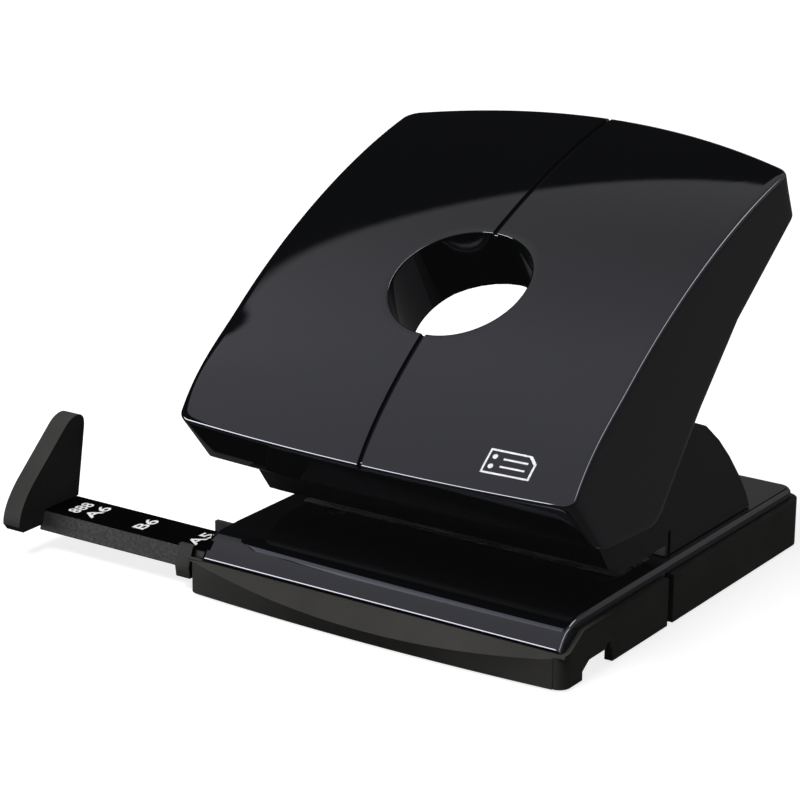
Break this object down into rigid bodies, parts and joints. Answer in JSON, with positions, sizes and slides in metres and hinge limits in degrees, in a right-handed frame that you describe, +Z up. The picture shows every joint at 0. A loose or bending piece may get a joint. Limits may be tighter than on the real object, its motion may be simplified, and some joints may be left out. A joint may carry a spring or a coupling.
{
  "type": "desk hole punch",
  "caption": "Black desk hole punch with a long curved pressing handle pierced by a round grip hole, a swing-down chip tray and a sliding paper guide.",
  "frame": {"origin": "on the table, under the middle of the base's footprint, on the underside of the middle grip strip", "axes": "+Z up, +Y to the rear where the handle rises, +X to the right of a user facing the paper slot"},
  "size_m": [0.1667, 0.1286, 0.1093],
  "materials": {
    "gloss_black": "polished",
    "satin_black": "satin",
    "matte_black": "fine grained",
    "steel": "zinc plated",
    "spring_steel": "bright drawn",
    "rubber": "matte",
    "nylon": "natural"
  },
  "bodies": {
    "base": {"base_pan": "matte_black", "platform_cover": "gloss_black", "die_plate": "steel", "tower_housing": "satin_black", "pivot_axle": "steel", "rail_channel": "satin_black", "grip_strip_middle": "rubber", "grip_strip_rear": "rubber", "guide_spring": "spring_steel", "axle_clip_left": "spring_steel", "punch_guide_left": "steel", "return_spring_left": "spring_steel", "tray_hinge_pin_left": "steel", "base_screw_front_left": "steel", "base_screw_rear_left": "steel", "axle_clip_right": "spring_steel", "punch_guide_right": "steel", "return_spring_right": "spring_steel", "tray_hinge_pin_right": "steel", "base_screw_front_right": "steel", "base_screw_rear_right": "steel"},
    "handle": {"handle_shell": "gloss_black", "handle_liner": "satin_black", "lever_frame": "steel", "press_bar": "steel", "handle_screw_1": "steel", "handle_screw_2": "steel", "handle_screw_3": "steel", "handle_screw_4": "steel", "press_cap_left": "nylon", "press_cap_right": "nylon", "press_bar_clip_left": "spring_steel", "press_bar_clip_right": "spring_steel"},
    "punch_left": {"punch_pin_left": "steel", "spring_washer_left": "spring_steel"},
    "punch_right": {"punch_pin_right": "steel", "spring_washer_right": "spring_steel"},
    "chip_tray": {"chip_tray": "matte_black", "grip_strip_front": "rubber"},
    "paper_guide": {"guide_rail": "satin_black", "guide_stop": "satin_black"}
  },
  "joints": [
    {"name": "handle_press", "type": "hinge", "parent": "base", "child": "handle", "pos_m": [0, -0.0375, 0.042], "axis": [-1, 0, 0], "range_deg": [0, 20], "stiffness_Nm_per_rad": 0.8, "springref_deg": -20.05},
    {"name": "punch_left_travel", "type": "slide", "parent": "base", "child": "punch_left", "axis": [0, 0, -1], "range_m": [0, 0.0072], "deforming": ["return_spring_left"]},
    {"name": "punch_right_travel", "type": "slide", "parent": "base", "child": "punch_right", "axis": [0, 0, -1], "range_m": [0, 0.0072], "deforming": ["return_spring_right"]},
    {"name": "tray_swing", "type": "hinge", "parent": "base", "child": "chip_tray", "pos_m": [0, -0.0079, 0.0035], "axis": [1, 0, 0], "range_deg": [0, 55]},
    {"name": "guide_slide", "type": "slide", "parent": "base", "child": "paper_guide", "axis": [-1, 0, 0], "range_m": [-0.0365, 0.0435]}
  ],
  "couplings": [
    {"joint": "punch_left_travel", "follows": "handle_press", "m_per_rad": 0.0202},
    {"joint": "punch_right_travel", "follows": "handle_press", "m_per_rad": 0.0202}
  ]
}
